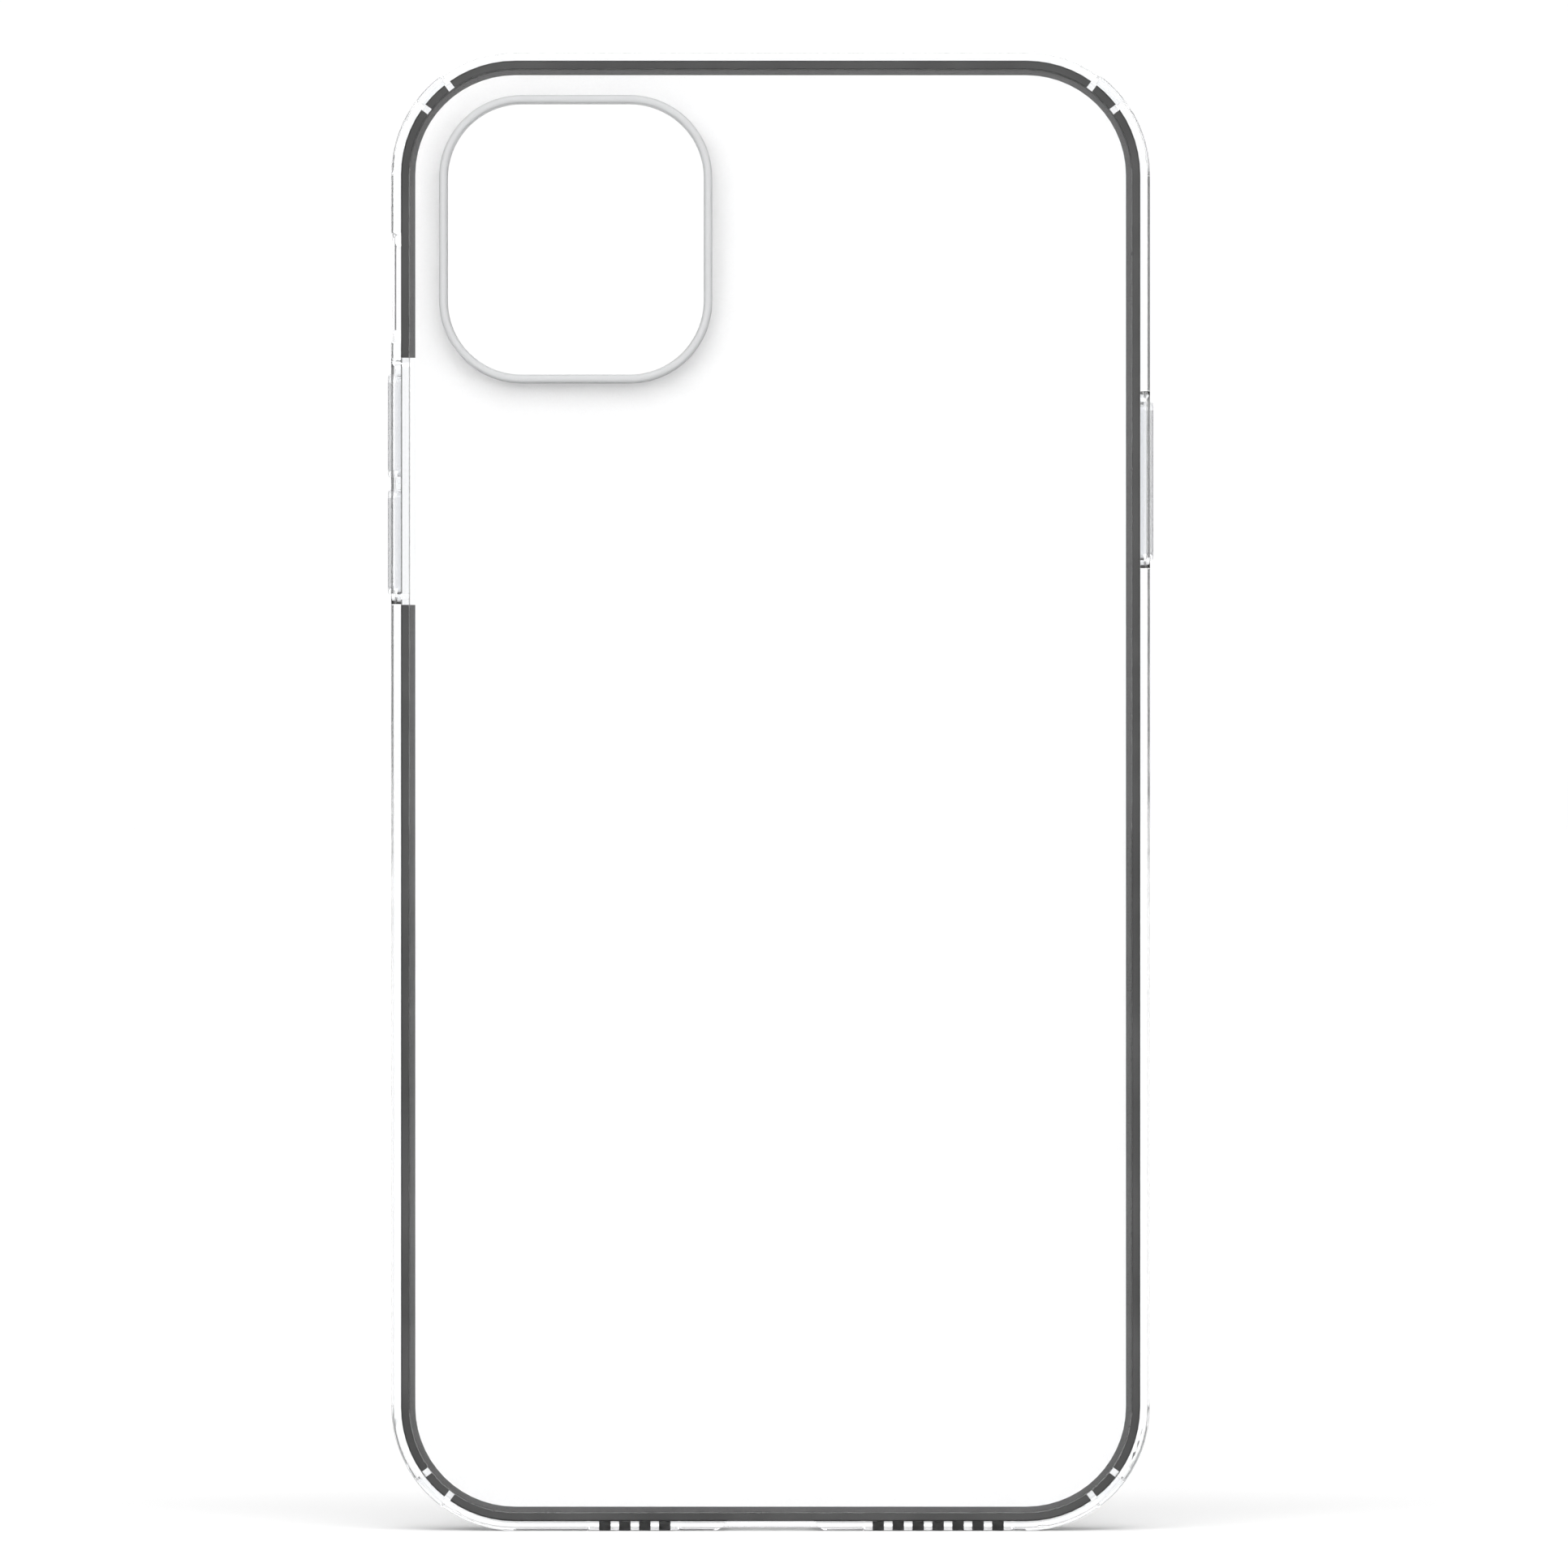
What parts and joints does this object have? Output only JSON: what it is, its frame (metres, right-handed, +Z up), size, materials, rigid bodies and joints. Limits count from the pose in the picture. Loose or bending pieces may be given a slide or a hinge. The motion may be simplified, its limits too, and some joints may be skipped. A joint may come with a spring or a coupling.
{
  "type": "phone case",
  "caption": "Clear protective phone case: soft bumper, dark ring round a clear plate over a white panel, raised camera rim, pressable button covers and open port, switch and sound cut-outs.",
  "frame": {"origin": "middle of the bottom edge that the upright case stands on, at the middle of its width and thickness", "axes": "+Z up the case to its camera end, -Y out of its back, +Y out of its open screen side, +X to the right when looking at its back"},
  "size_m": [0.083, 0.012, 0.1601],
  "materials": {
    "clear_soft": "clear glossy soft plastic",
    "clear_cover": "clear soft plastic, faintly smoky where it is thick",
    "dark_frame": "dark grey satin moulded plastic",
    "clear_plate": "clear glossy hard plastic",
    "white_print": "even white print",
    "frosted_soft": "frosted translucent soft plastic",
    "black_mesh": "fine woven acoustic mesh"
  },
  "bodies": {
    "case": {"bumper": "clear_soft", "frame_ring": "dark_frame", "back_plate": "clear_plate", "print_layer": "white_print", "camera_lip": "frosted_soft", "volume_up_web": "clear_soft", "volume_down_web": "clear_soft", "side_web": "clear_soft", "corner_cushion_top_right": "clear_soft", "corner_cushion_top_left": "clear_soft", "corner_cushion_bottom_left": "clear_soft", "corner_cushion_bottom_right": "clear_soft", "mic_mesh": "black_mesh", "speaker_mesh": "black_mesh"},
    "volume_up": {"volume_up_cover": "clear_cover"},
    "volume_down": {"volume_down_cover": "clear_cover"},
    "side_button": {"side_cover": "clear_cover"}
  },
  "joints": [
    {"name": "volume_up_press", "type": "slide", "parent": "case", "child": "volume_up", "axis": [1, 0, 0], "range_m": [0, 0.0003], "stiffness_N_per_m": 500, "springref_m": -0.003, "deforming": ["volume_up_web"]},
    {"name": "volume_down_press", "type": "slide", "parent": "case", "child": "volume_down", "axis": [1, 0, 0], "range_m": [0, 0.0003], "stiffness_N_per_m": 500, "springref_m": -0.003, "deforming": ["volume_down_web"]},
    {"name": "side_button_press", "type": "slide", "parent": "case", "child": "side_button", "axis": [-1, 0, 0], "range_m": [0, 0.0003], "stiffness_N_per_m": 500, "springref_m": -0.003, "deforming": ["side_web"]}
  ]
}
